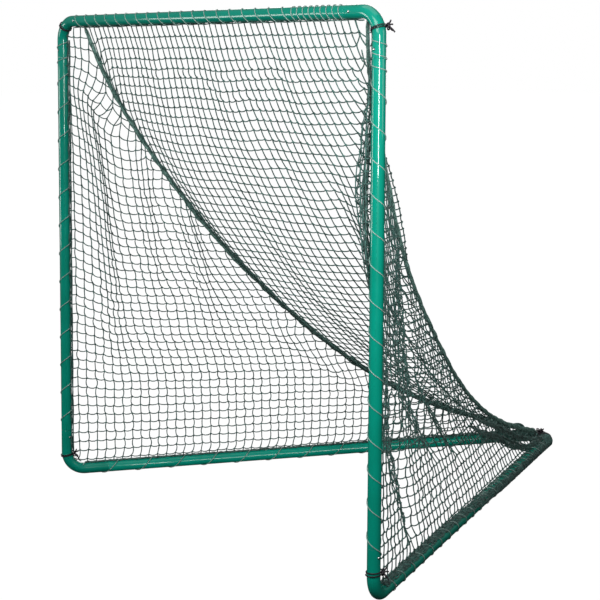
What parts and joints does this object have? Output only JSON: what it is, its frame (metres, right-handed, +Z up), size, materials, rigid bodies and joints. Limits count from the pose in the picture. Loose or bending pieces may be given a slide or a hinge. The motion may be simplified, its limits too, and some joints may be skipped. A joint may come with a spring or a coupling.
{
  "type": "lacrosse goal",
  "caption": "Lacrosse goal: a square mouth of green steel tube on a V-shaped base with rounded corner elbows and snap buttons, closed by dark netting laced all round.",
  "frame": {"origin": "on the ground under the middle of the goal's bounding box", "axes": "+X to the right seen from in front, +Y to the rear point of the base, +Z up; the mouth faces -Y"},
  "size_m": [1.9274, 1.996, 1.927],
  "materials": {
    "frame_paint": "glossy green powder coat on steel tube",
    "button_steel": "bright plated steel",
    "spring_steel": "blued spring strip",
    "net_twine": "dark green-black twisted twine",
    "seam_webbing": "grey-green gathered border tape",
    "lacing_cord": "glossy dark green braided cord",
    "tie_cord": "dark purplish-black cord"
  },
  "bodies": {
    "frame": {"crossbar": "frame_paint", "left_post": "frame_paint", "right_post": "frame_paint", "left_base_rail": "frame_paint", "right_base_rail": "frame_paint", "top_left_elbow": "frame_paint", "top_right_elbow": "frame_paint", "bottom_left_elbow": "frame_paint", "bottom_right_elbow": "frame_paint", "rear_elbow": "frame_paint", "clip_crossbar_left": "spring_steel", "clip_crossbar_right": "spring_steel", "clip_left_post_top": "spring_steel", "clip_left_post_foot": "spring_steel", "clip_left_rail_front": "spring_steel", "clip_left_rail_rear": "spring_steel", "clip_right_post_top": "spring_steel", "clip_right_post_foot": "spring_steel", "clip_right_rail_front": "spring_steel", "clip_right_rail_rear": "spring_steel", "left_side_net": "net_twine", "right_side_net": "net_twine", "back_net": "net_twine", "left_seam_tape": "seam_webbing", "right_seam_tape": "seam_webbing", "left_post_lacing": "lacing_cord", "right_post_lacing": "lacing_cord", "crossbar_lacing": "lacing_cord", "left_rail_lacing": "lacing_cord", "right_rail_lacing": "lacing_cord", "top_left_tie": "tie_cord", "top_right_tie": "tie_cord", "bottom_left_tie": "tie_cord", "bottom_right_tie": "tie_cord", "rear_lashing": "tie_cord"},
    "button_crossbar_left": {"button_crossbar_left": "button_steel"},
    "button_crossbar_right": {"button_crossbar_right": "button_steel"},
    "button_left_post_top": {"button_left_post_top": "button_steel"},
    "button_left_post_foot": {"button_left_post_foot": "button_steel"},
    "button_left_rail_front": {"button_left_rail_front": "button_steel"},
    "button_left_rail_rear": {"button_left_rail_rear": "button_steel"},
    "button_right_post_top": {"button_right_post_top": "button_steel"},
    "button_right_post_foot": {"button_right_post_foot": "button_steel"},
    "button_right_rail_front": {"button_right_rail_front": "button_steel"},
    "button_right_rail_rear": {"button_right_rail_rear": "button_steel"}
  },
  "joints": [
    {"name": "press_crossbar_left", "type": "slide", "parent": "frame", "child": "button_crossbar_left", "axis": [0, 1, 0], "range_m": [0, 0.006], "stiffness_N_per_m": 400, "springref_m": -0.004},
    {"name": "press_crossbar_right", "type": "slide", "parent": "frame", "child": "button_crossbar_right", "axis": [0, 1, 0], "range_m": [0, 0.006], "stiffness_N_per_m": 400, "springref_m": -0.004},
    {"name": "press_left_post_top", "type": "slide", "parent": "frame", "child": "button_left_post_top", "axis": [0, 1, 0], "range_m": [0, 0.006], "stiffness_N_per_m": 400, "springref_m": -0.004},
    {"name": "press_left_post_foot", "type": "slide", "parent": "frame", "child": "button_left_post_foot", "axis": [-1, 0, 0], "range_m": [0, 0.006], "stiffness_N_per_m": 400, "springref_m": -0.004},
    {"name": "press_left_rail_front", "type": "slide", "parent": "frame", "child": "button_left_rail_front", "axis": [0.9094, -0.416, 0], "range_m": [0, 0.006], "stiffness_N_per_m": 400, "springref_m": -0.004},
    {"name": "press_left_rail_rear", "type": "slide", "parent": "frame", "child": "button_left_rail_rear", "axis": [0.9094, -0.416, 0], "range_m": [0, 0.006], "stiffness_N_per_m": 400, "springref_m": -0.004},
    {"name": "press_right_post_top", "type": "slide", "parent": "frame", "child": "button_right_post_top", "axis": [0, 1, 0], "range_m": [0, 0.006], "stiffness_N_per_m": 400, "springref_m": -0.004},
    {"name": "press_right_post_foot", "type": "slide", "parent": "frame", "child": "button_right_post_foot", "axis": [-1, 0, 0], "range_m": [0, 0.006], "stiffness_N_per_m": 400, "springref_m": -0.004},
    {"name": "press_right_rail_front", "type": "slide", "parent": "frame", "child": "button_right_rail_front", "axis": [-0.9094, -0.416, 0], "range_m": [0, 0.006], "stiffness_N_per_m": 400, "springref_m": -0.004},
    {"name": "press_right_rail_rear", "type": "slide", "parent": "frame", "child": "button_right_rail_rear", "axis": [-0.9094, -0.416, 0], "range_m": [0, 0.006], "stiffness_N_per_m": 400, "springref_m": -0.004}
  ]
}
